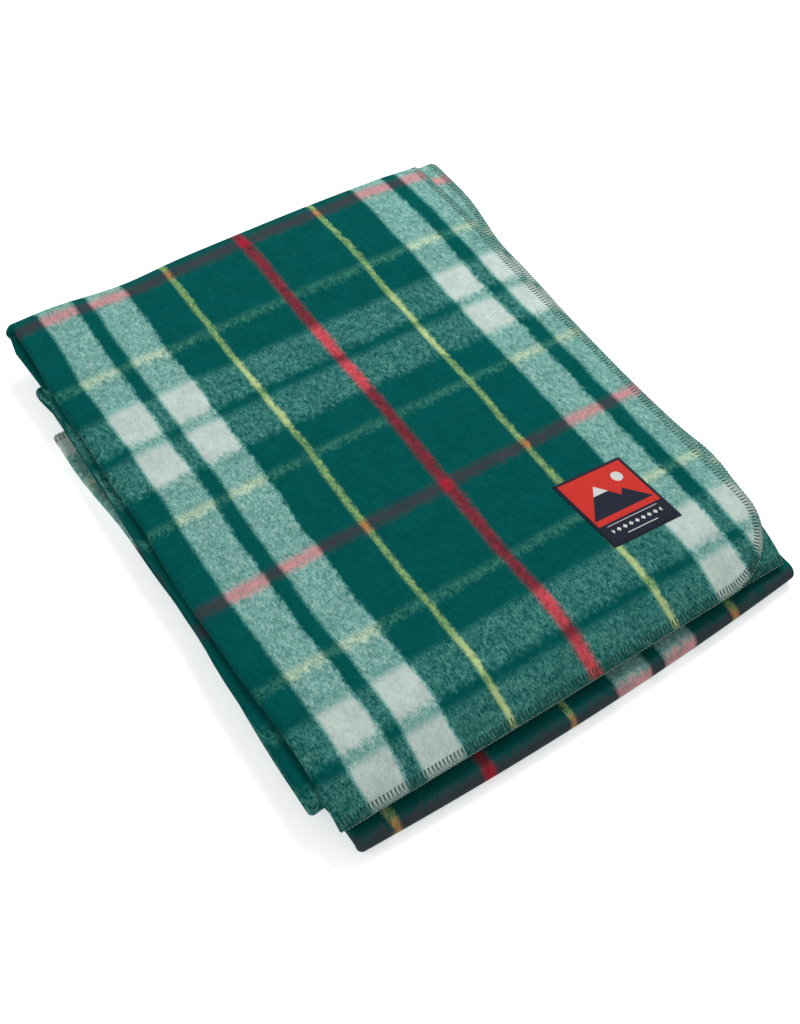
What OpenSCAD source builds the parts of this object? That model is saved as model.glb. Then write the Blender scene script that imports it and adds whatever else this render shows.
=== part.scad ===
// A wool camp blanket, folded in four across its width and then into five
// panels like an accordion, with an overlocked edge and a woven label.
// The stack lies on z = 0. Front is -Y, and the label is at the front right.

/* [Cloth] */
// Width of the flat cloth, which is folded in four
cloth_w = 1575; // [1200:5:1900]
// Thickness of the pressed cloth
cloth_t = 1.7; // [1.0:0.1:1.7]
// Height that each ply takes in the stack
ply_pitch = 2.0; // [2.0:0.1:3.0]
// Radius of the cloth's four corners
corner_r = 62; // [30:1:90]

/* [Folding] */
// Depth of the folded stack, from the front fold to the back fold
stack_depth = 498; // [420:1:600]
// How far the top panel's open end stays behind the front fold
top_end_inset = 12; // [5:1:40]
// How far the hidden front fold stays behind the visible one
inner_front_inset = 53; // [20:1:90]
// How far the hidden back fold stays in front of the visible one
inner_back_inset = 52; // [20:1:90]
// How far the bottom panel's open end stays in front of the back fold
bottom_end_inset = 95; // [40:1:140]

/* [Overlock] */
// Width of the overlock stitch on each face
overlock_w = 7; // [4:0.5:10]
// Thickness of one layer of thread, pressed into the cloth's face
thread_t = 0.25; // [0.1:0.05:0.25]
// Width of the needle thread's line at the inner side of the overlock
needle_line_w = 0.8; // [0.5:0.1:1.5]

/* [Label] */
// Width of the woven label
label_w = 61; // [40:1:80]
// Depth of the woven label
label_d = 65; // [40:1:80]
// Thickness of the woven label
label_t = 0.8; // [0.5:0.1:1.5]
// From the cloth's near edge to the middle of the label
label_from_side = 89; // [60:1:120]
// From the top panel's open end to the middle of the label
label_from_end = 103; // [70:1:140]
// Length of one lockstitch around the label
stitch_pitch = 3; // [2:0.5:5]

/* [Hidden] */

arc_steps = 8;
face = cloth_t / 2;
under_thread = face - thread_t;
clearance = 0.05;
panel_h = 4 * ply_pitch;
panels = 5;
// heights of the plies in a panel that lies label side up, counted from the top
ply_1 = 3.5 * ply_pitch;
ply_2 = 2.5 * ply_pitch;

// the width fold: an outer left fold around an inner one, and one right fold
outer_fold_r = 1.5 * ply_pitch;
small_fold_r = 0.5 * ply_pitch;
ply_span = (cloth_w - PI * (outer_fold_r + 2 * small_fold_r)
    + 2 * (small_fold_r + face)) / 4;
near_x = (ply_span + outer_fold_r + face - thread_t) / 2;
left_x = near_x - ply_span;
right_x = near_x - small_fold_r - face;

// the length fold: where each panel starts and ends
rest_drop = ply_pitch / 2 - face;
back_y = stack_depth / 2 - ply_1 - face;
front_y = -stack_depth / 2 + ply_1 + face;
top_end_y = -stack_depth / 2 + top_end_inset;
bottom_end_y = stack_depth / 2 - bottom_end_inset;
inner_front_y = front_y + inner_front_inset;
inner_back_y = back_y - inner_back_inset;
turn_y = [back_y, inner_front_y, inner_back_y, front_y];
panel_y = [[top_end_y, back_y], [inner_front_y, back_y], [inner_front_y, inner_back_y],
    [front_y, inner_back_y], [front_y, bottom_end_y]];

label_y = top_end_y + label_from_end;
label_z = panels * panel_h - ply_pitch / 2 + face - rest_drop;
stitch_margin = 2.5;
stitch_l = 0.7 * stitch_pitch;
stitch_w = 0.5;

function reversed(list) = [for (i = [len(list) - 1:-1:0]) list[i]];
// points [x, y, heading] on an arc about c, from angle a0 to angle a1
function arc(c, r, a0, a1) = [for (i = [0:arc_steps])
    let (a = a0 + (a1 - a0) * i / arc_steps)
    [c.x + r * cos(a), c.y + r * sin(a), a + (a1 > a0 ? 90 : -90)]];
function shifted(p, d) = [p.x - d * sin(p[2]), p.y + d * cos(p[2])];
// the outline between two lines at distances d0 and d1 to the left of a path
function ribbon(path, d0, d1) = concat([for (p = path) shifted(p, d0)],
    reversed([for (p = path) shifted(p, d1)]));
// the cloth's section across its width, from near edge to far edge, less trim at each
function width_path(trim = 0) = concat(
    [[near_x - trim, ply_1, 180]],
    arc([left_x, 2 * ply_pitch], outer_fold_r, 90, 270),
    arc([right_x, ply_pitch], small_fold_r, -90, 90),
    arc([left_x, 2 * ply_pitch], small_fold_r, 270, 90),
    [[near_x - trim, ply_2, 0]]);
// the line along the cloth's length at height h in the stack, less trim at each end
function length_path(h, trim) = concat(
    [[top_end_y + trim, 4 * panel_h + h, 0]],
    arc([back_y, 4 * panel_h], h, 90, -90),
    arc([inner_front_y, 3 * panel_h], panel_h - h, 90, 270),
    arc([inner_back_y, 2 * panel_h], h, 90, -90),
    arc([front_y, panel_h], panel_h - h, 90, 270),
    [[bottom_end_y - trim, h, 0]]);

// a band of the width fold between two distances on its label side
module width_band(d0, d1, trim = 0, flipped = false) {
    points = ribbon(width_path(trim), -d0, -d1);
    polygon([for (p = points) [p.x, flipped ? panel_h - p.y : p.y]]);
}

module along_y(y0, y1) {
    translate([0, y1, 0]) rotate([90, 0, 0]) linear_extrude(y1 - y0) children();
}

// one panel of four plies, i counted from the top
module panel(i) {
    translate([0, 0, (panels - 1 - i) * panel_h])
        along_y(panel_y[i][0], panel_y[i][1]) width_band(-face, face, 0, i % 2 == 1);
}

// the four plies where panel i turns down into the next one
module turn(i) {
    flipped = i % 2 == 1;
    translate([0, turn_y[i], (panels - 1 - i) * panel_h])
        mirror([0, flipped ? 1 : 0, 0]) rotate([0, 90, 0])
        rotate_extrude(angle = 180, $fn = 32)
        polygon([for (p = ribbon(width_path(), -face, face))
            [flipped ? panel_h - p.y : p.y, p.x]]);
}

// puts a child made for the corner at the near front of the top panel at both ends
module at_both_ends() {
    translate([near_x - corner_r, top_end_y + corner_r, 4 * panel_h]) children();
    translate([near_x - corner_r, bottom_end_y - corner_r, 0]) mirror([0, 1, 0]) children();
}

// what is cut away outside the rounded corners of the two plies with free edges
module corner_waste() {
    translate([0, 0, 2 * ply_pitch]) difference() {
        translate([0, -corner_r - 1, 0]) cube([corner_r + 1, corner_r + 1, 2 * ply_pitch + 1]);
        translate([0, 0, -1]) cylinder(r = corner_r, h = 2 * ply_pitch + 3, $fn = 96);
    }
}

// a strip around the whole edge of the cloth: d0 to d1 in from the edge, and
// z0 to z1 out from the middle of the cloth on its label side
module edge_strip(d0, d1, z0, z1) {
    for (side = [[ply_1, 1], [ply_2, -1]]) {
        translate([near_x - d1, 0, 0]) rotate([90, 0, 90]) linear_extrude(d1 - d0)
            polygon(ribbon(length_path(side[0], corner_r), side[1] * z0, side[1] * z1));
        at_both_ends() rotate([0, 0, -90]) rotate_extrude(angle = 90, $fn = 96)
            polygon([for (c = [[d1, z0], [d0, z0], [d0, z1], [d1, z1]])
                [corner_r - c[0], side[0] + side[1] * c[1]]]);
    }
    translate([0, 0, 4 * panel_h]) along_y(top_end_y + d0, top_end_y + d1)
        width_band(z0, z1, corner_r);
    along_y(bottom_end_y - d1, bottom_end_y - d0) width_band(z0, z1, corner_r);
}

// the stitches of one thread around the label, lying on z = 0
module label_stitches() {
    for (turned = [0, 1]) {
        run = (turned ? label_d : label_w) - 2 * stitch_margin;
        reach = (turned ? label_w : label_d) / 2 - stitch_margin;
        count = floor(run / stitch_pitch);
        rotate(90 * turned) for (side = [-1, 1], i = [0:count - 1])
            translate([(i + 0.5 - count / 2) * stitch_pitch, side * reach, 0])
            translate([-stitch_l / 2, -stitch_w / 2, 0]) cube([stitch_l, stitch_w, thread_t]);
    }
}

module blanket_cloth() {
    color("#07524E") translate([0, 0, -rest_drop]) difference() {
        union() {
            for (i = [0:panels - 1]) panel(i);
            for (i = [0:panels - 2]) turn(i);
        }
        at_both_ends() corner_waste();
        edge_strip(-1, overlock_w, under_thread, face + clearance);
        edge_strip(-1, overlock_w, -face - clearance, -under_thread);
    }
}

module overlock_needle_thread() {
    color("#9DB5A6") translate([0, 0, -rest_drop]) for (z = [under_thread, -face])
        edge_strip(overlock_w - needle_line_w, overlock_w, z, z + thread_t);
}

module overlock_upper_looper() {
    color("#7E9C8B") translate([0, 0, -rest_drop]) {
        edge_strip(0, overlock_w - needle_line_w, under_thread, face);
        edge_strip(-thread_t, 0, 0, face);
    }
}

module overlock_lower_looper() {
    color("#6C8A7A") translate([0, 0, -rest_drop]) {
        edge_strip(0, overlock_w - needle_line_w, -face, -under_thread);
        edge_strip(-thread_t, 0, -face, 0);
    }
}

module woven_label() {
    color("#C9332B") translate([near_x - label_from_side, label_y, label_z])
        translate([-label_w / 2, -label_d / 2, 0]) cube([label_w, label_d, label_t]);
}

module label_needle_thread() {
    color("#1B2233")
        translate([near_x - label_from_side, label_y, label_z + label_t]) label_stitches();
}

module label_bobbin_thread() {
    color("#1B2233")
        translate([near_x - label_from_side, label_y, label_z - cloth_t - thread_t])
        label_stitches();
}

blanket_cloth();
overlock_needle_thread();
overlock_upper_looper();
overlock_lower_looper();
woven_label();
label_needle_thread();
label_bobbin_thread();
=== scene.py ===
"""The camp blanket's looks: one folded sheet of tartan wool with its overlock, label and stitching."""
import math

import bpy
import numpy as np
from mathutils import Matrix, Vector


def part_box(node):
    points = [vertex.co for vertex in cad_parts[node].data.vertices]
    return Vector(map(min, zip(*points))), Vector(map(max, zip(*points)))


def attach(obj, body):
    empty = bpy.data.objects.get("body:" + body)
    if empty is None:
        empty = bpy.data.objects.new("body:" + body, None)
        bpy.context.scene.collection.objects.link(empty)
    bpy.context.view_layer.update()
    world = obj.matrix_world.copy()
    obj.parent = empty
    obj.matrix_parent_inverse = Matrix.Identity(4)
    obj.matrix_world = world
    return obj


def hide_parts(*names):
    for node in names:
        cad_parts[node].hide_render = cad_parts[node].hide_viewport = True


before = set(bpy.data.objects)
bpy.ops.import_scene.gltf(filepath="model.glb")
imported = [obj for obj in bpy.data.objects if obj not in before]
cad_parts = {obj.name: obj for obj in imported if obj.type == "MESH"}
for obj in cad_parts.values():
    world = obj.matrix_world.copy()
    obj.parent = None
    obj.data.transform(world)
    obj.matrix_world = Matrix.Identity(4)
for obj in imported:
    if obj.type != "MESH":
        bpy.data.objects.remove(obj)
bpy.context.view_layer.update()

# ---------------------------------------------------------------- driving sizes, in metres

cloth_lo, cloth_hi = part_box("blanket_cloth")
PANELS, PLIES = 5, 4
PLY = 0.002                       # height of one ply in the stack
PANEL = PLIES * PLY
CLOTH_T = 0.0017                  # thickness of the cloth
FACE = CLOTH_T / 2
SEAM_FACE = 0.0006                # half its thickness under the overlock
CORNER_R = 0.062                  # radius of the cloth's four corners
WIDTH = 1.575                     # of the flat cloth

# the width fold: an outer left fold around an inner one, and one right fold
NEAR_X = cloth_hi.x
OUTER_R, SMALL_R = 1.5 * PLY, 0.5 * PLY
SPAN = (WIDTH - math.pi * (OUTER_R + 2 * SMALL_R) + 2 * (SMALL_R + FACE)) / 4
LEFT_X = NEAR_X - SPAN
RIGHT_X = NEAR_X - SMALL_R - FACE
STACK_TOP = PANELS * PANEL - PLY / 2 + FACE
REST_DROP = PLY / 2 - FACE

# the length fold: where each panel starts and ends
TURN_OUT = 3.5 * PLY + FACE       # from a turn's middle to its outer face
FRONT_Y, BACK_Y = cloth_lo.y + TURN_OUT, cloth_hi.y - TURN_OUT
TOP_END_Y = cloth_lo.y + 0.012
INNER_FRONT_Y = FRONT_Y + 0.053
INNER_BACK_Y = BACK_Y - 0.052
BOTTOM_END_Y = cloth_hi.y - 0.095
TURN_Y = (BACK_Y, INNER_FRONT_Y, INNER_BACK_Y, FRONT_Y)
RUN_Y = ((TOP_END_Y, BACK_Y), (BACK_Y, INNER_FRONT_Y), (INNER_FRONT_Y, INNER_BACK_Y),
         (INNER_BACK_Y, FRONT_Y), (FRONT_Y, BOTTOM_END_Y))
HALF_TURN = math.pi * 2 * PLY     # length of a turn in the middle of the plies
LENGTH = sum(abs(b - a) for a, b in RUN_Y) + 4 * HALF_TURN

OVERLOCK_W = 0.007                # from the edge to the needle line
STITCH = 0.0029                   # length of one overlock stitch
THREAD_R = 0.00020

LABEL_W, LABEL_D, LABEL_T = 0.061, 0.065, 0.0008
LABEL_S = 0.089                   # from the near edge to the label's middle
LABEL_UP = 0.103                  # from the top end to the label's middle
LABEL_SKEW = 0.065                # how far the label is pulled out of square

SETT_U, SETT_V = 0.291, 0.285     # the tartan's repeat across and along the cloth
RED_IN, RED_UP = 0.189, 0.1795    # first red line in from the near edge and from the top end
# how far the pattern lies from where it would be in quite even cloth: (place, drift)
DRIFT_U = ((0, 0.017), (0.040, 0.010), (0.110, 0.005), (0.180, 0.002), (0.260, 0.001), (0.390, 0),
           (0.425, -0.017), (0.570, -0.019), (0.650, -0.0225), (0.730, -0.020), (1.575, -0.045))
DRIFT_V = ((0, 0), (0.360, 0), (0.396, -0.0035), (0.470, -0.005), (1.7555, -0.147), (2.160, -0.143))

rng = np.random.default_rng(7)


# ---------------------------------------------------------------- the neat fold

def smooth(x, start, end):
    """0 at start, 1 at end, and smooth between. The end may be the smaller of the two."""
    f = np.clip((x - start) / (end - start), 0, 1)
    return f * f * (3 - 2 * f)


def bulge(x, middle, reach):
    """1 at middle, and next to nothing at twice reach from it."""
    return np.exp(-((x - middle) / reach) ** 2)


def stepped(x, amount, *steps):
    """An amount that changes by each step (change, start, end) as x goes from its start to its end."""
    return amount + sum(change * smooth(x, start, end) for change, start, end in steps)


def width_fold(s, out):
    """Place (x, height in the panel) of the cloth s in from its near edge and out from its middle."""
    runs = (SPAN, math.pi * OUTER_R, RIGHT_X - LEFT_X, math.pi * SMALL_R,
            RIGHT_X - LEFT_X, math.pi * SMALL_R, SPAN)
    k = WIDTH / sum(runs)
    ends = np.cumsum([0, *runs])
    part = np.clip(np.searchsorted(ends, s / k, side="right") - 1, 0, len(runs) - 1)
    f = s / k - ends[part]
    x, h = np.empty_like(s), np.empty_like(s)
    # each straight run: where it starts, which way it goes, its level in plies and its label side
    straight = {0: (NEAR_X, -1, 3.5, 1), 2: (LEFT_X, 1, 0.5, -1),
                4: (RIGHT_X, -1, 1.5, 1), 6: (LEFT_X, 1, 2.5, -1)}
    for i, (x0, way, level, up) in straight.items():
        m = part == i
        x[m] = x0 + way * f[m]
        h[m] = level * PLY + up * out[m]
    # each fold: its middle, its level, its radius, which way it turns and where it starts
    bends = {1: (LEFT_X, 2, OUTER_R, 1, math.pi / 2), 3: (RIGHT_X, 1, SMALL_R, 1, -math.pi / 2),
             5: (LEFT_X, 2, SMALL_R, -1, -math.pi / 2)}
    for i, (x0, level, r, way, a0) in bends.items():
        m = part == i
        a = a0 + way * f[m] / r
        x[m] = x0 + (r + way * out[m]) * np.cos(a)
        h[m] = level * PLY + (r + way * out[m]) * np.sin(a)
    return x, h


def length_fold(tau, h):
    """Place (y, z), turned angle and panel (0 to 4, between in a turn) of a point tau along the stack."""
    y, z, turned, panel = (np.empty_like(tau) for _ in range(4))
    start = 0.0
    for i, (y0, y1) in enumerate(RUN_Y):
        run = abs(y1 - y0)
        floor_z = (PANELS - 1 - i) * PANEL
        flipped = i % 2 == 1
        last = i == PANELS - 1
        r = PANEL - h if flipped else h
        m = ((tau >= start) | (i == 0)) & ((tau < start + run) | last)
        y[m] = y0 + np.sign(y1 - y0) * (tau[m] - start)
        z[m] = floor_z + r[m]
        turned[m], panel[m] = (math.pi if flipped else 0), i
        start += run
        if last:
            break
        m = (tau >= start) & (tau < start + HALF_TURN)
        f = (tau[m] - start) / HALF_TURN
        a = f * math.pi
        y[m] = TURN_Y[i] + (-r[m] if flipped else r[m]) * np.sin(a)
        z[m] = floor_z + r[m] * np.cos(a)
        turned[m] = math.pi - a if flipped else a
        panel[m] = i + f
        start += HALF_TURN
    return y, z, turned, panel


def pattern_place(s, along):
    """Where on the tartan's repeats a place on the cloth lies, with the drift of a hand-folded stack."""
    sideways = np.interp(s, *zip(*DRIFT_U))
    # the right folds hide their red line
    sideways = sideways + stepped(along, 0.020, (-0.040, 0.6, 1.6)) * bulge(s, 0.79, 0.05)
    # the lowest panel shows its pale stripe at the left
    sideways = sideways - 0.028 * smooth(along, 1.99, 2.06) * bulge(s, 0.395, 0.06)
    # the far edge lies a little askew over the near one
    lengthways = np.interp(along, *zip(*DRIFT_V)) + 0.011 * smooth(s, 1.0, 1.5)
    return np.stack([(s + sideways) / SETT_U, (along + lengthways) / SETT_V], axis=1)


# ---------------------------------------------------------------- how the soft cloth settles

# How far in each panel's left fold lies, from the top panel down. The first value holds in the middle
# of the stack, and each step (change, start, end) comes in between two places y.
LEFT_FOLDS = (
    (0.0045, (-0.0040, 0.05, 0.25), (0.0020, -0.05, -0.20)),
    (0.0006, (0.0022, 0.02, 0.12), (-0.0016, -0.05, -0.12)),
    (0.0016, (0.0020, 0.10, 0.16), (-0.0024, -0.05, -0.12)),
    (0.0032, (0.0013, 0.10, 0.16), (-0.0016, -0.05, -0.12), (0.0030, 0, -0.15), (0.010, -0.15, -0.24)),
    (0.0030, (-0.0095, 0.02, 0.155), (0.0018, 0, -0.15), (0.010, -0.15, -0.24)),
)
# where a left fold swells near its back end: panel, amount, y, reach
LEFT_SWELLS = ((1, 0.0028, 0.220, 0.012), (2, 0.0032, 0.189, 0.009), (3, 0.0032, 0.189, 0.009))
TOP_TURN_SWELL = (0, (0.0046, 0.20, 0.24))     # of the back fold's left corner
LEFT_RIPPLES = ((0.0009, 31, 2.3), (0.0005, 67, 4.1))      # amount, radians per metre and per panel
RIGHT_RIPPLES = ((0.0006, 37, 1.9),)

# How far out the right side lies, in the same form: the top panel's first edge, its second edge that
# shows behind the first, and its folds, and then the lower panels
FIRST_EDGE = (-0.0025, (-0.0015, 0.20, 0.25))
SECOND_EDGE = (0.0001, (0.0042, 0.02, 0.12), (0.0092, 0.12, 0.205))
SECOND_EDGE_SWELL = (0.0040, -0.137, 0.025)   # amount, y, reach
TOP_RIGHT_FOLDS = (-0.0030, (-0.0025, -0.15, -0.235))
NEXT_SECOND_EDGE = (0, (0.008, 0.14, 0.24))
LOWER_RIGHT = -0.0020
LOWEST_RIGHT = (0, (0.0030, -0.15, -0.24))

# The top panel's left fold is tucked in, in the same form, but the cloth beside it hardly moves
TUCK = (0.0013, (0.0045, 0.05, 0.23), (0.0016, -0.15, -0.23))
# Bulk blunts the two upright corners at the back: amount, start, run, share at the right
BLUNT, BLUNT_START, BLUNT_RUN, BLUNT_RIGHT = 0.0045, 0.236, 0.014, 0.4

# Lengthwise shifts: (change, start, end)
ASKEW = (0.016, -0.10, -0.19)     # the hidden front fold's left end, forwards
SHORT = (0.0024, -0.15, -0.235)   # the open end's left corner, backwards
BOW_START, BOW_END = -0.15, -0.245            # the lowest front fold bows forward in its middle
BOW_LEAST, BOW_MOST, BOW_MIDDLE = 0.0010, 0.006, 0.45
LINE_START, LINE_END = 0.19, 0.25             # the back fold's line isn't quite straight
LINE_RIGHT, LINE_LOSS = 0.0022, 0.0010        # back at its right end, forward all along it
LINE_WAVE = (0.0006, 23)                      # amount, radians per metre
LINE_DIP = (0.0045, -0.100, 0.040)            # amount, x, reach

# Shifts up: the back fold is full, and the one under it sags past the lowest panel
TOP_LIFT, NEXT_LIFT = (0, (0.0028, 0.115, 0.175)), (0, (0.0028, 0.165, 0.235))
LOWER_SAG = (0, (-0.004, 0.152, 0.193))
# The top panel's open end bends down past the folds under it
END_START, END_RUN = 0.183, 0.054
END_DROP, END_PULL, END_SLOPE = 0.0135, 0.0035, 0.4
# The stack sinks a little towards its two sides
SIDE_SINK, SIDE_REACH = 0.0022, 0.05


def waves(x, y, z):
    """Slow unevenness of hand-folded cloth, as a height in metres."""
    return (0.0010 * np.sin(9 * x + 5 * y + 0.6) * np.sin(7 * y - 4 * x + 1.1)
            + 0.0006 * np.sin(21 * x - 13 * y + 2.0)
            + 0.0005 * np.sin(17 * x + 23 * y + 40 * z))


def ripples(y, panel, kinds, lead=0):
    """Small unevenness of a fold's line along the stack."""
    return sum(amount * np.sin(per_metre * y + per_panel * panel + lead)
               for amount, per_metre, per_panel in kinds)


def left_shift(y, panel, share):
    """How far in the left folds lie, given each point's share in each panel."""
    shift = sum(part * stepped(y, *fold) for part, fold in zip(share, LEFT_FOLDS))
    for i, amount, middle, reach in LEFT_SWELLS:
        shift = shift - share[i] * amount * bulge(y, middle, reach)
    shift = shift - np.sin(math.pi * np.clip(panel, 0, 1)) * stepped(y, *TOP_TURN_SWELL)
    return shift + ripples(y, panel, LEFT_RIPPLES)


def right_shift(y, h, panel, share):
    """How far out the right edges and folds lie."""
    first = smooth(h / PLY, 2.9, 3.1)
    second = smooth(h / PLY, 1.9, 2.1) * (1 - first)
    folds = 1 - first - second
    amount, middle, reach = SECOND_EDGE_SWELL
    top = (first * stepped(y, *FIRST_EDGE)
           + second * (stepped(y, *SECOND_EDGE) + amount * bulge(y, middle, reach))
           + folds * stepped(y, *TOP_RIGHT_FOLDS))
    lower = (share[1] * second * stepped(y, *NEXT_SECOND_EDGE) + sum(share[1:]) * LOWER_RIGHT
             + (share[3] + share[4]) * stepped(y, *LOWEST_RIGHT))
    return share[0] * top + lower + ripples(y, panel, RIGHT_RIPPLES, 2 * first)


def front_shift(y, across, share):
    """How far forward (minus) or back the front folds lie from a straight line."""
    change, start, end = ASKEW
    askew = (share[1] + share[2]) * change * smooth(y, start, end) * (1 - across) ** 2
    change, start, end = SHORT
    short = share[0] * change * smooth(y, start, end) * (1 - across) ** 4
    bend = BOW_LEAST + BOW_MOST * (2 * (across - BOW_MIDDLE)) ** 2
    bow = (share[3] + share[4]) * smooth(y, BOW_START, BOW_END) * bend
    return bow - askew + short


def back_shift(x, y, across, share):
    """How far back the two top panels' fold lies from a straight line."""
    amount, middle, reach = LINE_DIP
    height, per_metre = LINE_WAVE
    line = (LINE_RIGHT * (2 * across - 1) ** 2 * across - LINE_LOSS
            - amount * bulge(x, middle, reach) + height * np.sin(per_metre * x))
    return (share[0] + share[1]) * smooth(y, LINE_START, LINE_END) * line


def settle(x, y, z, h, panel):
    """Moves points of the neat fold to where the soft cloth lies: uneven folds and edges, sagging ends."""
    start_y = y
    share = [np.clip(1 - np.abs(panel - i), 0, 1) for i in range(PANELS)]
    across = np.clip((x - cloth_lo.x) / (cloth_hi.x - cloth_lo.x), 0, 1)
    x = (x + left_shift(start_y, panel, share) * (1 - across)
         + share[0] * stepped(start_y, *TUCK) * (1 - across) ** 8
         + right_shift(start_y, h, panel, share) * across)
    blunt = BLUNT * np.clip((start_y - BLUNT_START) / BLUNT_RUN, 0, 1) ** 2
    x = x + blunt * ((1 - across) ** 6 - BLUNT_RIGHT * across ** 6)
    y = y + front_shift(start_y, across, share) + back_shift(x, start_y, across, share)
    z = z + share[0] * stepped(start_y, *TOP_LIFT) + share[1] * stepped(start_y, *NEXT_LIFT)
    z = z + (share[2] + share[3]) * stepped(start_y, *LOWER_SAG)
    past = np.clip((-start_y - END_START) / END_RUN, 0, 1.05)
    y = y + share[0] * (END_PULL * past ** 2 + END_SLOPE * past * (STACK_TOP - z))
    z = z - share[0] * END_DROP * past ** 2
    from_side = np.minimum(x - cloth_lo.x, cloth_hi.x - x)
    sink = SIDE_SINK * (1 - smooth(from_side, 0.0, SIDE_REACH))
    z = z * (1 + (waves(x, y, z) - sink) / STACK_TOP)
    return np.stack([x, y, z - REST_DROP], axis=1)


def on_cloth(s, tau, out):
    """Places of points of the cloth, and how far along the cloth each one is."""
    s, tau, out = (np.array(a, float).ravel() for a in np.broadcast_arrays(s, tau, out))
    x, h = width_fold(s, out)
    y, z, turned, panel = length_fold(tau, h)
    _, middle = width_fold(s, np.zeros_like(out))
    along = tau + (middle - 2 * PLY) * turned
    return settle(x, y, z, middle, panel), along


# ---------------------------------------------------------------- mesh helpers

def new_object(name, points, faces, material, smooth_faces=True):
    mesh = bpy.data.meshes.new(name)
    mesh.from_pydata([tuple(p) for p in points], [], [tuple(f) for f in faces])
    mesh.materials.append(material)
    mesh.validate()
    if smooth_faces:
        mesh.shade_smooth()
    obj = bpy.data.objects.new(name, mesh)
    bpy.context.scene.collection.objects.link(obj)
    return obj


def set_uv(obj, name, uv):
    """Gives every corner of the mesh its vertex's pair from uv."""
    mesh = obj.data
    layer = mesh.uv_layers.new(name=name)
    index = np.empty(len(mesh.loops), np.int32)
    mesh.loops.foreach_get("vertex_index", index)
    layer.data.foreach_set("uv", np.asarray(uv, np.float32)[index].ravel())


def slab_faces(rows, cols):
    """Quads of a closed slab made of a top grid and then a bottom grid of rows by cols points."""
    i = np.arange(rows * cols).reshape(rows, cols)
    j = i + rows * cols
    quads = [np.stack([i[:-1, :-1], i[:-1, 1:], i[1:, 1:], i[1:, :-1]], -1).reshape(-1, 4),
             np.stack([j[:-1, :-1], j[1:, :-1], j[1:, 1:], j[:-1, 1:]], -1).reshape(-1, 4)]
    for line, back in ((i[0], j[0]), (i[-1][::-1], j[-1][::-1]),
                       (i[:, 0][::-1], j[:, 0][::-1]), (i[:, -1], j[:, -1])):
        quads.append(np.stack([line[:-1], back[:-1], back[1:], line[1:]], -1))
    return np.concatenate(quads)


def graded(pieces):
    """Joined spacings: each piece is (length, number of steps)."""
    at = [0.0]
    for length, steps in pieces:
        at += list(at[-1] + length * np.arange(1, steps + 1) / steps)
    return np.array(at)


def rounded_corners(s, tau):
    """Pulls the square grid's corners in to quarter circles, leaving the rest of the cloth as it is."""
    a = np.maximum(CORNER_R - s, 0) - np.maximum(s - WIDTH + CORNER_R, 0)
    b = np.maximum(CORNER_R - tau, 0) - np.maximum(tau - LENGTH + CORNER_R, 0)
    a, b = a / CORNER_R, b / CORNER_R
    round_a, round_b = a * np.sqrt(1 - b * b / 2), b * np.sqrt(1 - a * a / 2)
    corner = (a != 0) & (b != 0)
    s = np.where(corner, s + (a - round_a) * CORNER_R, s)
    tau = np.where(corner, tau + (b - round_b) * CORNER_R, tau)
    return s, tau


def from_edge(s, tau):
    """Distance in from the nearest edge of the cloth, with its rounded corners."""
    a = np.minimum(s, WIDTH - s)
    b = np.minimum(tau, LENGTH - tau)
    corner_a, corner_b = np.maximum(CORNER_R - a, 0), np.maximum(CORNER_R - b, 0)
    in_corner = (corner_a > 0) & (corner_b > 0)
    return np.where(in_corner, CORNER_R - np.hypot(corner_a, corner_b), np.minimum(a, b))


def tube(centres, normals, radius, sides, closed):
    """Points and quads of a thread along a line of centres."""
    ahead = np.roll(centres, -1, 0) - np.roll(centres, 1, 0)
    if not closed:
        ahead[0], ahead[-1] = centres[1] - centres[0], centres[-1] - centres[-2]
    ahead /= np.linalg.norm(ahead, axis=1)[:, None] + 1e-12
    side = np.cross(ahead, normals)
    side /= np.linalg.norm(side, axis=1)[:, None] + 1e-12
    up = np.cross(side, ahead)
    a = np.arange(sides) / sides * 2 * math.pi + math.pi / sides
    ring = np.cos(a)[None, :, None] * side[:, None, :] + np.sin(a)[None, :, None] * up[:, None, :]
    points = (centres[:, None, :] + radius * ring).reshape(-1, 3)
    n = len(centres)
    i = np.arange(n if closed else n - 1)[:, None]
    j = np.arange(sides)[None, :]
    a0, a1 = i * sides + j, i * sides + (j + 1) % sides
    b0, b1 = (i + 1) % n * sides + j, (i + 1) % n * sides + (j + 1) % sides
    faces = np.stack([a0, b0, b1, a1], -1).reshape(-1, 4)
    return points, faces


# ---------------------------------------------------------------- the cloth

FINE, MEDIUM, COARSE = 0.0065, 0.007, 0.016    # spacing of the cloth's grid
OUTER_STEPS, SMALL_STEPS, TURN_STEPS = 12, 8, 12
LOWER_STEPS = (26, 24, 26, 26)                 # along each of the lower panels
RIM, RIM_STEPS, SEAM_STEPS = 0.0009, 1, 3
EDGE_ROUND = 0.0012                            # how far in the cut edge is rounded


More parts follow.
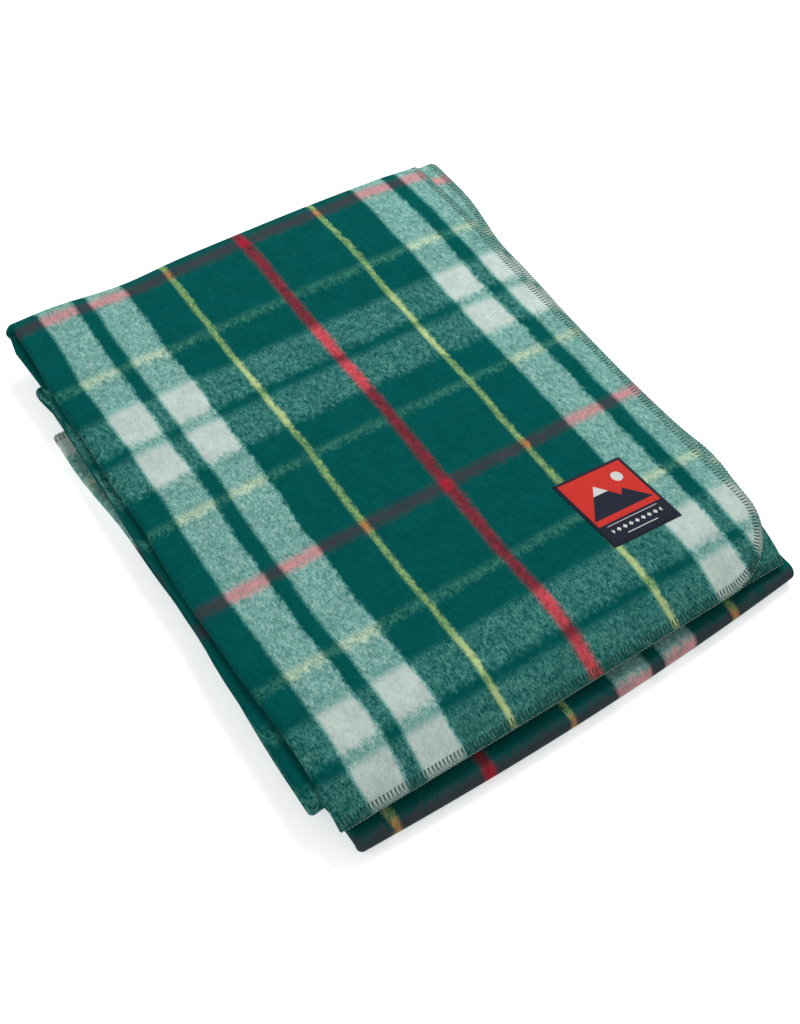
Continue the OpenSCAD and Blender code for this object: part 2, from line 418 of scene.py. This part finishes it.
def cloth_grid():
    """Places (s, tau) of the cloth's grid lines, close together at the edge and at the folds."""
    seam = [(RIM, RIM_STEPS), (OVERLOCK_W - RIM, SEAM_STEPS)]
    span = SPAN - OVERLOCK_W
    inner = RIGHT_X - LEFT_X
    inner_run, small_fold = (inner, int(inner / COARSE)), (math.pi * SMALL_R, SMALL_STEPS)
    s = graded([*seam, (span, int(span / FINE)), (math.pi * OUTER_R, OUTER_STEPS), inner_run, small_fold,
                inner_run, small_fold, (span, int(span / COARSE)), *seam[::-1]])
    runs = [abs(b - a) for a, b in RUN_Y]
    steps = (int(runs[0] / MEDIUM), *LOWER_STEPS)
    runs[0] -= OVERLOCK_W
    runs[-1] -= OVERLOCK_W
    along = [*seam, (runs[0], steps[0])]
    for run, count in zip(runs[1:], steps[1:]):
        along += [(HALF_TURN, TURN_STEPS), (run, count)]
    tau = graded([*along, *seam[::-1]])
    return s * WIDTH / s[-1], tau * LENGTH / tau[-1]


def build_cloth(material):
    ss, tt = np.meshgrid(*cloth_grid())
    s, tau = rounded_corners(ss.ravel(), tt.ravel())
    inward = from_edge(s, tau)
    half = SEAM_FACE + (FACE - SEAM_FACE) * smooth(inward, OVERLOCK_W * 0.7, OVERLOCK_W * 1.3)
    half = half * np.sqrt(np.clip(0.25 + inward / EDGE_ROUND, 0, 1))
    top, along = on_cloth(s, tau, half)
    bottom, _ = on_cloth(s, tau, -half)
    obj = new_object("tartan_cloth", np.concatenate([top, bottom]), slab_faces(*ss.shape), material)
    uv = pattern_place(s, along)
    set_uv(obj, "weave", np.concatenate([uv, uv]))
    return obj


# ---------------------------------------------------------------- the overlock

EDGE_LENGTH = 2 * (WIDTH + LENGTH) - 8 * CORNER_R + 2 * math.pi * CORNER_R
WOBBLE = 0.00018                  # how uneven the stitches' depth is
WOBBLE_FROM = 0.002               # from where in from the edge the unevenness shows


def edge_place(q, inward):
    """(s, tau) of a point q along the cloth's whole edge and some way in from it."""
    long_s, long_t, arc = WIDTH - 2 * CORNER_R, LENGTH - 2 * CORNER_R, math.pi / 2 * CORNER_R
    legs = np.cumsum([0, long_s, arc, long_t, arc, long_s, arc, long_t, arc])
    q = np.mod(q, legs[-1])
    part = np.clip(np.searchsorted(legs, q, side="right") - 1, 0, 7)
    f = q - legs[part]
    s, tau = np.empty_like(q), np.empty_like(q)
    sides = {0: (lambda f, d: (CORNER_R + f, d)), 2: (lambda f, d: (WIDTH - d, CORNER_R + f)),
             4: (lambda f, d: (WIDTH - CORNER_R - f, LENGTH - d)),
             6: (lambda f, d: (d, LENGTH - CORNER_R - f))}
    middles = {1: (WIDTH - CORNER_R, CORNER_R, -90), 3: (WIDTH - CORNER_R, LENGTH - CORNER_R, 0),
               5: (CORNER_R, LENGTH - CORNER_R, 90), 7: (CORNER_R, CORNER_R, 180)}
    for i, place in sides.items():
        m = part == i
        s[m], tau[m] = place(f[m], inward[m])
    for i, (middle_s, middle_t, a0) in middles.items():
        m = part == i
        a = math.radians(a0) + f[m] / CORNER_R
        s[m] = middle_s + (CORNER_R - inward[m]) * np.cos(a)
        tau[m] = middle_t + (CORNER_R - inward[m]) * np.sin(a)
    return s, tau


def edge_thread(name, material, pattern, radius, sides=4):
    """A thread round the edge. Its pattern lists (share of a stitch, distance in, distance out)."""
    count = int(EDGE_LENGTH / STITCH)
    step = EDGE_LENGTH / count
    share, inward, out = (np.tile([p[k] for p in pattern], count) for k in range(3))
    q = np.repeat(np.arange(count), len(pattern)) * step + share * step
    wobble = np.repeat(rng.normal(0, WOBBLE, count), len(pattern))
    s, tau = edge_place(q, inward + wobble * (inward > WOBBLE_FROM))
    centres, _ = on_cloth(s, tau, out)
    above, _ = on_cloth(s, tau, out + THREAD_R)
    normals = above - centres
    normals /= np.linalg.norm(normals, axis=1)[:, None]
    points, faces = tube(centres, normals, radius, sides, True)
    obj = new_object(name, points, faces, material)
    # where the thread passes out past the edge it takes the rim colour: partly pale raw-edge fibres, partly
    # a painted highlight
    rim = np.repeat((inward < 0).astype(float), sides)
    set_uv(obj, "rim", np.stack([rim, rim], axis=1))
    return obj


def build_overlock(dark, pale_edge_and_highlight):
    """The two looper threads, in and back at each stitch and along the edge, and the needle thread."""
    lie = SEAM_FACE + THREAD_R * 0.6
    w = OVERLOCK_W
    looper = [(0.0, -0.0003, 0.0), (0.10, 0.0006, lie), (0.24, 0.5 * w, lie), (0.38, 0.96 * w, lie),
              (0.52, 0.96 * w, lie * 1.05), (0.57, 0.5 * w, lie), (0.64, 0.0006, lie), (0.80, -0.0003, 0.0)]
    upper = edge_thread("overlock_upper_thread", dark, looper, THREAD_R)
    # the lower looper is the same turned over, but at the edge it runs further out and a little higher
    under = [(a, -0.0006 if o == 0 else d, 0.00015 if o == 0 else -o) for a, d, o in looper]
    lower = edge_thread("overlock_lower_thread", pale_edge_and_highlight, under, THREAD_R)
    line, deep = w - 0.0004, lie + 0.0001
    needle = [(0.05, line, deep), (0.45, line, deep), (0.5, line, -deep), (0.95, line, -deep)]
    seam = edge_thread("overlock_needle_stitches", dark, needle, THREAD_R * 0.9)
    return upper, lower, seam


# ---------------------------------------------------------------- the label

LIP, LIP_RUN = 0.00025, 0.0006    # height and run of the label's rounded rim
PUFF_START, PUFF_END = 0.002, 0.006            # where it rises once more, in from the rim
LABEL_GAP = 0.00002               # between the label and the cloth
LABEL_COLS, LABEL_ROWS = 62, 66
SEW_IN, SEW_PITCH = 0.0022, 0.0030             # of its stitches: in from the rim, and their pitch
SEW_REACH = 0.42                  # half of a stitch's length, as a share of the pitch
SEW_R, SEW_POINTS, SEW_SIDES = 0.00022, 6, 5


def label_place(a, b):
    """(s, tau) on the cloth of a point a to the right of the label's middle and b behind it."""
    return LABEL_S - (a - LABEL_SKEW * b), LABEL_UP + (b - LABEL_SKEW * a)


def build_label(material):
    a, b = np.meshgrid(np.linspace(-LABEL_W / 2, LABEL_W / 2, LABEL_COLS),
                       np.linspace(-LABEL_D / 2, LABEL_D / 2, LABEL_ROWS))
    a, b = a.ravel(), b.ravel()
    s, tau = label_place(a, b)
    inward = np.minimum(LABEL_W / 2 - np.abs(a), LABEL_D / 2 - np.abs(b))
    puff = LIP * smooth(inward, PUFF_START, PUFF_END)
    lip = LIP * np.sqrt(np.clip(inward / LIP_RUN, 0, 1))
    top, _ = on_cloth(s, tau, FACE + LABEL_T - LIP + lip + puff)
    bottom, _ = on_cloth(s, tau, np.full_like(s, FACE + LABEL_GAP))
    faces = slab_faces(LABEL_ROWS, LABEL_COLS)[:, ::-1]
    obj = new_object("woven_label_patch", np.concatenate([top, bottom]), faces, material)
    uv = np.stack([a / LABEL_W + 0.5, b / LABEL_D + 0.5], axis=1)
    set_uv(obj, "label", np.concatenate([uv, uv]))
    return obj


def label_line(level, rise, name, material):
    """Short stitches of one thread round the label, out at level and humped by rise."""
    points, faces, n = [], [], 0
    f = np.linspace(-SEW_REACH, SEW_REACH, SEW_POINTS)
    hump = level + rise * (1 - (f / SEW_REACH) ** 2)
    last_ring = (SEW_POINTS - 1) * SEW_SIDES
    for turned in (False, True):
        run = (LABEL_D if turned else LABEL_W) - 2 * SEW_IN
        reach = (LABEL_W if turned else LABEL_D) / 2 - SEW_IN
        count = int(run / SEW_PITCH)
        for side in (-1, 1):
            for i in range(count):
                along = (i + 0.5) / count * run - run / 2 + f * SEW_PITCH
                off = np.full(SEW_POINTS, side * reach)
                s, tau = label_place(off, along) if turned else label_place(along, off)
                centres, _ = on_cloth(s, tau, hump)
                above, _ = on_cloth(s, tau, hump + SEW_R)
                p, q = tube(centres, above - centres, SEW_R, SEW_SIDES, False)
                points.append(p)
                faces += [tuple(x + n for x in face) for face in q]
                faces.append(tuple(n + x for x in range(SEW_SIDES)))
                faces.append(tuple(n + last_ring + x for x in reversed(range(SEW_SIDES))))
                n += len(p)
    return new_object(name, np.concatenate(points), faces, material)


# ---------------------------------------------------------------- materials

class Nodes:
    """A short way to write a material's node tree."""

    def __init__(self, name):
        self.material = bpy.data.materials.new(name)
        self.material.use_nodes = True
        self.tree = self.material.node_tree
        self.tree.nodes.clear()
        self.out = self.tree.nodes.new("ShaderNodeOutputMaterial")
        self.shader = self.tree.nodes.new("ShaderNodeBsdfPrincipled")
        self.link(self.shader.outputs[0], self.out.inputs[0])

    def link(self, a, b):
        self.tree.links.new(a, b)

    def put(self, socket, value):
        if isinstance(value, bpy.types.NodeSocket):
            self.link(value, socket)
        else:
            socket.default_value = value

    def math(self, op, a, b=None, c=None, clamp=False):
        node = self.tree.nodes.new("ShaderNodeMath")
        node.operation = op
        node.use_clamp = clamp
        for socket, value in zip(node.inputs, (a, b, c)):
            if value is not None:
                self.put(socket, value)
        return node.outputs[0]

    def times(self, a, b):
        return self.math("MULTIPLY", a, b)

    def ramp(self, value, lo, hi, to_lo=0.0, to_hi=1.0):
        """value from lo..hi to to_lo..to_hi, smoothly."""
        node = self.tree.nodes.new("ShaderNodeMapRange")
        node.interpolation_type = "SMOOTHSTEP"
        for key, v in (("Value", value), ("From Min", lo), ("From Max", hi),
                       ("To Min", to_lo), ("To Max", to_hi)):
            self.put(node.inputs[key], v)
        return node.outputs[0]

    def band(self, value, lo, hi, soft):
        """1 from lo to hi and 0 outside, with soft edges."""
        inside = self.ramp(value, lo - soft, lo + soft)
        return self.times(inside, self.ramp(value, hi - soft, hi + soft, 1.0, 0.0))

    def mix(self, factor, a, b):
        node = self.tree.nodes.new("ShaderNodeMix")
        node.data_type = "RGBA"
        self.put(node.inputs[0], factor)
        for socket, value in ((node.inputs[6], a), (node.inputs[7], b)):
            self.put(socket, (*value, 1) if isinstance(value, tuple) else value)
        return node.outputs[2]

    def scaled(self, color, factor):
        node = self.tree.nodes.new("ShaderNodeVectorMath")
        node.operation = "SCALE"
        self.link(color, node.inputs[0])
        self.link(factor, node.inputs["Scale"])
        return node.outputs[0]

    def uv(self, name):
        node = self.tree.nodes.new("ShaderNodeUVMap")
        node.uv_map = name
        return node.outputs[0]

    def object_place(self):
        return self.tree.nodes.new("ShaderNodeTexCoord").outputs["Object"]

    def split(self, vector):
        node = self.tree.nodes.new("ShaderNodeSeparateXYZ")
        self.link(vector, node.inputs[0])
        return node.outputs[0], node.outputs[1]

    def join(self, x, y, z=0.0):
        node = self.tree.nodes.new("ShaderNodeCombineXYZ")
        for socket, value in zip(node.inputs, (x, y, z)):
            self.put(socket, value)
        return node.outputs[0]

    def noise(self, vector, scale, detail=2.0, rough=0.5):
        node = self.tree.nodes.new("ShaderNodeTexNoise")
        self.put(node.inputs["Vector"], vector)
        for key, v in (("Scale", scale), ("Detail", detail), ("Roughness", rough)):
            node.inputs[key].default_value = v
        return node.outputs[0]

    def bump(self, height, distance, strength=1.0, under=None):
        node = self.tree.nodes.new("ShaderNodeBump")
        node.inputs["Strength"].default_value = strength
        node.inputs["Distance"].default_value = distance
        self.link(height, node.inputs["Height"])
        if under is not None:
            self.link(under, node.inputs["Normal"])
        return node.outputs[0]

    def finish(self, color, normal=None, **values):
        self.put(self.shader.inputs["Base Color"], color)
        if normal is not None:
            self.link(normal, self.shader.inputs["Normal"])
        for key, value in values.items():
            self.shader.inputs[key.replace("_", " ")].default_value = value
        return self.material


# The tartan as shares of its repeat, measured from the red line to either side.
# The light bands: from, to, softness of their edges
WARP_BAND, WEFT_BAND = (0.3746, 0.4777, 0.0085), (0.3684, 0.4818, 0.017)
# The thin lines: middle, half width, softness, how much of the ground they cover at most
WARP_YELLOW, WEFT_YELLOW = (0.2405, 0.0080, 0.0060, 0.92), (0.2544, 0.0120, 0.013, 0.34)
WARP_RED, WEFT_RED = (0.0, 0.0145, 0.0110, 0.95), (0.0, 0.0160, 0.016, 0.80)
# How light the cloth is where one yarn or the other is light, between dark at 0 and light at 1
WARP_LIGHT, WEFT_LIGHT = 0.50, 0.14

SHADES = {                        # linear colours
    "dark": (0.0002, 0.069, 0.064),
    "weft_light": (0.026, 0.138, 0.122),
    "warp_light": (0.135, 0.315, 0.280),
    "light": (0.43, 0.515, 0.475),
    "weft_yellow": (0.055, 0.215, 0.150), "weft_yellow_on_light": (0.66, 0.71, 0.42),
    "weft_red": (0.043, 0.036, 0.046), "weft_red_on_light": (0.53, 0.21, 0.225),
    "yellow_deep": (0.080, 0.215, 0.095), "yellow_lit": (0.235, 0.365, 0.135),
    "yellow_on_light": (0.38, 0.50, 0.22), "yellow_on_red": (0.40, 0.15, 0.05),
    "red_deep": (0.100, 0.012, 0.022), "red_lit": (0.212, 0.026, 0.038),
    "bright_red_deep": (0.40, 0.034, 0.050), "bright_red_lit": (0.56, 0.070, 0.090),
    "red_on_red": (0.38, 0.012, 0.028),
}


def fibres(n, u, v, across, along, seed, detail, rough):
    """Noise with so many grains to the tartan's repeat across and along the cloth."""
    return n.noise(n.join(n.times(u, across), n.times(v, along), seed), 1.0, detail, rough)


def ground_color(n, warp, weft, grain):
    """The dark and light yarns' mix, broken up by the grain most where it is half and half."""
    both = n.times(warp, weft)
    share = n.times(warp, WARP_LIGHT)
    share = n.math("MULTIPLY_ADD", weft, WEFT_LIGHT, share)
    share = n.math("MULTIPLY_ADD", both, 1 - WARP_LIGHT - WEFT_LIGHT, share)
    room = n.math("SUBTRACT", 1.05, share)
    spread = n.math("MULTIPLY_ADD", n.times(share, n.times(room, room)), 2.6, 0.022)
    spread = n.math("MULTIPLY_ADD", n.times(share, share), 0.12, spread)
    share = n.math("MULTIPLY_ADD", grain, spread, share, clamp=True)
    ramp = n.tree.nodes.new("ShaderNodeValToRGB")
    stops = ramp.color_ramp.elements
    stops[0].color, stops[1].color = (*SHADES["dark"], 1), (*SHADES["light"], 1)
    for place, key in ((WEFT_LIGHT, "weft_light"), (WARP_LIGHT, "warp_light")):
        stops.new(place).color = (*SHADES[key], 1)
    n.link(share, ramp.inputs[0])
    return ramp.outputs[0]


def tartan_material():
    n = Nodes("tartan_wool")
    u, v = n.split(n.uv("weave"))
    # fine fibres brushed along the cloth break the colours up
    speck = fibres(n, u, v, 250.0, 150.0, 0.0, 4.0, 0.9)
    hairs = fibres(n, u, v, 330.0, 85.0, 8.2, 3.0, 0.7)
    clump = fibres(n, u, v, 95.0, 60.0, 3.7, 2.0, 0.6)
    grain = n.times(n.math("SUBTRACT", speck, 0.5), 3.0)
    grain = n.math("MULTIPLY_ADD", n.math("SUBTRACT", clump, 0.5), 1.5, grain)
    grain = n.math("MULTIPLY_ADD", n.math("SUBTRACT", hairs, 0.5), 1.9, grain)
    # clumps make the stripes' edges uneven, and slow drift bends the stripes
    slow = n.noise(n.join(u, v), 9.0, 2.0)
    across = n.math("ADD", u, n.math("MULTIPLY_ADD", clump, 0.010, -0.005))
    across = n.math("ADD", across, n.math("MULTIPLY_ADD", slow, 0.016, -0.008))
    along = n.math("ADD", v, n.math("MULTIPLY_ADD", clump, 0.026, -0.013))
    along = n.math("ADD", along, n.math("MULTIPLY_ADD", slow, -0.016, 0.008))

    def from_red(place, first):
        """Distance from the nearest red line, as a share of the repeat."""
        shifted = n.math("FRACT", n.math("ADD", place, 0.5 - first))
        return n.math("ABSOLUTE", n.math("SUBTRACT", shifted, 0.5))

    def line(away, shape, amount):
        """A thin line whose part-covered places turn into single fibres."""
        middle, half, soft, most = shape
        away = n.math("ABSOLUTE", n.math("SUBTRACT", away, middle))
        mask = n.ramp(away, half - soft, half + soft, most, 0.0)
        room = n.times(mask, n.math("SUBTRACT", 1.12, mask))
        return n.math("MULTIPLY_ADD", n.times(room, grain), amount, mask, clamp=True)

    def mottled(deep, lit):
        return n.mix(n.ramp(grain, -0.5, 0.5), SHADES[deep], SHADES[lit])

    warp_away, weft_away = from_red(across, RED_IN / SETT_U), from_red(along, RED_UP / SETT_V)
    warp, weft = n.band(warp_away, *WARP_BAND), n.band(weft_away, *WEFT_BAND)
    color = ground_color(n, warp, weft, grain)

    weft_yellow = line(weft_away, WEFT_YELLOW, n.math("MULTIPLY_ADD", warp, -1.9, 3.0))
    color = n.mix(weft_yellow, color, n.mix(warp, SHADES["weft_yellow"], SHADES["weft_yellow_on_light"]))
    weft_red = line(weft_away, WEFT_RED, 1.6)
    color = n.mix(weft_red, color, n.mix(warp, SHADES["weft_red"], SHADES["weft_red_on_light"]))
    yellow = n.mix(weft, mottled("yellow_deep", "yellow_lit"), SHADES["yellow_on_light"])
    yellow = n.mix(weft_red, yellow, SHADES["yellow_on_red"])
    color = n.mix(line(warp_away, WARP_YELLOW, 1.6), color, yellow)
    red = n.mix(weft, mottled("red_deep", "red_lit"), mottled("bright_red_deep", "bright_red_lit"))
    red = n.mix(weft_red, red, SHADES["red_on_red"])
    color = n.mix(line(warp_away, WARP_RED, 1.4), color, red)

    # worn and shaded patches
    patch = n.ramp(n.noise(n.join(u, v, 2.0), 16.0, 3.0), 0.3, 0.7, 0.95, 1.09)
    patch = n.times(patch, n.math("MULTIPLY_ADD", grain, 0.19, 1.0))
    lumps = fibres(n, u, v, 46.0, 34.0, 5.1, 3.0, 0.6)
    nap = fibres(n, u, v, 420.0, 210.0, 1.3, 4.0, 0.7)
    normal = n.bump(nap, 0.0005, 0.6, n.bump(lumps, 0.0009, 0.45))
    n.shader.inputs["Sheen Tint"].default_value = (0.45, 0.90, 0.85, 1)
    return n.finish(n.scaled(color, patch), normal, Roughness=0.95, Specular_IOR_Level=0.02,
                    Sheen_Weight=0.12, Sheen_Roughness=0.2)


def thread_material(name, color, other, rim=None):
    """Twisted yarn in two tones, paler where it runs along the cloth's very edge: partly pale raw-edge
    fibres, partly a painted highlight.
    """
    n = Nodes(name)
    place = n.object_place()
    tone = n.noise(place, 220.0, 2.0)
    twist = n.noise(place, 2600.0, 2.0)
    color = n.mix(n.ramp(tone, 0.35, 0.65), color, other)
    if rim is not None:
        at_rim, _ = n.split(n.uv("rim"))
        color = n.mix(at_rim, color, rim)
    return n.finish(color, n.bump(twist, 0.0001, 0.8), Roughness=0.7, Specular_IOR_Level=0.12,
                    Sheen_Weight=0.04)


# The label's design in millimetres from its lower left corner
FIELD_X, FIELD_Y = (2.6, 58.4), (19.0, 62.6)
PEAK_FOOT, SNOW_LINE = 24.0, 42.8
BIG_PEAK, SMALL_PEAK = (25.0, 27.0, 1.25), (42.0, 16.5, 1.15)       # middle, height, steepness
SUN_X, SUN_Y, SUN_R = 46.5, 50.5, 4.45
ROW_X, ROW_Y = (8.0, 52.5), 11.5
DIAMOND, DIAMOND_PITCH = 1.85, 5.5
RULES = (((17.0, 44.0), (5.6, 6.3)), (ROW_X, (16.4, 16.9)))         # (from x, to x), (from y, to y)
WEFT_PITCH, WARP_PITCH = 0.32, 0.42
NAVY, RED, WHITE = (0.012, 0.017, 0.036), (0.74, 0.036, 0.024), (0.80, 0.80, 0.78)


def label_material():
    """Navy ground with a red field that holds plain peaks, and a band of small diamonds under it."""
    n = Nodes("label_weave")
    u, v = n.split(n.uv("label"))
    x, y = n.times(u, LABEL_W * 1000), n.times(v, LABEL_D * 1000)
    jag = n.noise(n.join(x, y), 2.2, 1.0)
    x = n.math("ADD", x, n.math("MULTIPLY_ADD", jag, 0.5, -0.25))

    def inside(value, ends):
        return n.band(value, *ends, 0.12)

    def away(value, middle):
        return n.math("ABSOLUTE", n.math("SUBTRACT", value, middle))

    def peak(middle, height, slope):
        ridge = n.math("SUBTRACT", PEAK_FOOT + height, n.times(away(x, middle), slope))
        above_foot = n.ramp(y, PEAK_FOOT - 0.2, PEAK_FOOT + 0.2)
        return n.times(n.ramp(n.math("SUBTRACT", ridge, y), -0.2, 0.2), above_foot)

    def disc(distance, size):
        return n.ramp(distance, size - 0.15, size + 0.15, 1.0, 0.0)

    field = n.times(inside(x, FIELD_X), inside(y, FIELD_Y))
    big = peak(*BIG_PEAK)
    peaks = n.math("MAXIMUM", big, peak(*SMALL_PEAK))
    snow = n.times(big, n.ramp(y, SNOW_LINE - 0.2, SNOW_LINE + 0.2))
    from_sun = n.math("ADD", n.math("POWER", away(x, SUN_X), 2.0), n.math("POWER", away(y, SUN_Y), 2.0))
    sun = disc(n.math("SQRT", from_sun), SUN_R)
    cell = n.math("SUBTRACT", n.math("FRACT", n.math("DIVIDE", x, DIAMOND_PITCH)), 0.5)
    from_cell = n.math("ADD", n.math("ABSOLUTE", n.times(cell, DIAMOND_PITCH)), away(y, ROW_Y))
    diamonds = n.times(disc(from_cell, DIAMOND), inside(x, ROW_X))
    pale = n.math("MAXIMUM", snow, n.math("MAXIMUM", sun, diamonds))
    for across, up in RULES:
        pale = n.math("MAXIMUM", pale, n.times(inside(y, up), inside(x, across)))

    color = n.mix(field, NAVY, RED)
    color = n.mix(n.times(peaks, field), color, NAVY)
    color = n.mix(pale, color, WHITE)
    wefts = n.math("SINE", n.times(y, 2 * math.pi / WEFT_PITCH))
    warps = n.math("SINE", n.times(x, 2 * math.pi / WARP_PITCH))
    weave = n.times(wefts, warps)
    shade = n.math("MULTIPLY_ADD", weave, 0.07, 0.96)
    raised = n.math("MULTIPLY_ADD", n.math("MAXIMUM", pale, peaks), 0.8, weave)
    return n.finish(n.scaled(color, shade), n.bump(raised, 0.00012, 0.9), Roughness=0.7,
                    Specular_IOR_Level=0.15, Sheen_Weight=0.05)


def floor_material():
    n = Nodes("pale_floor")
    tone = n.ramp(n.noise(n.object_place(), 3.0, 2.0), 0.3, 0.7)
    n.shader.inputs["Emission Color"].default_value = (1, 1, 1, 1)
    return n.finish(n.mix(tone, (0.86, 0.86, 0.86), (0.88, 0.88, 0.88)), Roughness=0.9,
                    Specular_IOR_Level=0.1, Emission_Strength=0.50)


# ---------------------------------------------------------------- camera, light and floor

def build_camera():
    """Looks down at the stack from the front left, turned a little on its own axis."""
    azimuth, elevation, roll = math.radians(-39.26), math.radians(54.37), math.radians(6.4)
    target, distance = Vector((-0.0319, -0.0603, 0.0400)), 0.857
    back = Vector((math.sin(azimuth) * math.cos(elevation), -math.cos(azimuth) * math.cos(elevation),
                   math.sin(elevation)))
    level = Vector((math.cos(azimuth), math.sin(azimuth), 0))
    upright = back.cross(level)
    right = level * math.cos(roll) + upright * math.sin(roll)
    up = upright * math.cos(roll) - level * math.sin(roll)
    data = bpy.data.cameras.new("camera")
    data.lens, data.sensor_width = 42.6, 36.0
    camera = bpy.data.objects.new("camera", data)
    turned = Matrix((right, up, back)).transposed()
    camera.matrix_world = Matrix.Translation(target + back * distance) @ turned.to_4x4()
    bpy.context.scene.collection.objects.link(camera)
    bpy.context.scene.camera = camera


def area_light(name, place, size, power):
    data = bpy.data.lights.new(name, "AREA")
    data.shape, data.size, data.energy = "DISK", size, power
    light = bpy.data.objects.new(name, data)
    light.location = place
    light.rotation_euler = (-Vector(place)).to_track_quat("-Z", "Y").to_euler()
    bpy.context.scene.collection.objects.link(light)


def build_studio():
    scene = bpy.context.scene
    world = bpy.data.worlds.new("studio")
    world.use_nodes = True
    background = world.node_tree.nodes["Background"]
    background.inputs["Color"].default_value = (1, 1, 1, 1)
    background.inputs["Strength"].default_value = 0.48
    scene.world = world
    scene.view_settings.view_transform = "Standard"
    area_light("key", (0.98, 1.02, 1.66), 1.15, 42)
    area_light("fill", (-1.8, 0.2, 1.7), 1.6, 9)
    size = 4.0
    floor = new_object("floor", [(-size, -size, 0), (size, -size, 0), (size, size, 0), (-size, size, 0)],
                       [(0, 1, 2, 3)], floor_material(), False)


# ---------------------------------------------------------------- assembly

build_camera()
build_studio()
edge_dark = thread_material("overlock_yarn_dark", (0.004, 0.045, 0.036), (0.025, 0.095, 0.078))
# the lower looper's paler tones and rim colour: partly pale fibres of the raw edge, partly a painted
# highlight along the edge
edge_pale_and_highlight = thread_material("overlock_yarn_pale_and_highlight", (0.010, 0.055, 0.045), (0.055, 0.130, 0.105),
                                rim=(0.40, 0.56, 0.47))
label_navy = thread_material("label_yarn", (0.015, 0.02, 0.04), (0.03, 0.035, 0.06))
cloth = build_cloth(tartan_material())
upper, lower, needle = build_overlock(edge_dark, edge_pale_and_highlight)
label = build_label(label_material())
label_top = label_line(FACE + LABEL_T, 0.0002, "label_top_stitches", label_navy)
label_under = label_line(-FACE, -0.00008, "label_under_stitches", label_navy)

pieces = ((cloth, "blanket_cloth", "wool_tartan"), (upper, "overlock_upper_looper", "overlock_thread"),
          (lower, "overlock_lower_looper", "overlock_thread"),
          (needle, "overlock_needle_thread", "overlock_thread"),
          (label, "woven_label", "label_weave"), (label_top, "label_needle_thread", "label_thread"),
          (label_under, "label_bobbin_thread", "label_thread"))
for piece, node, slot in pieces:
    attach(piece, "root")
    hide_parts(node)
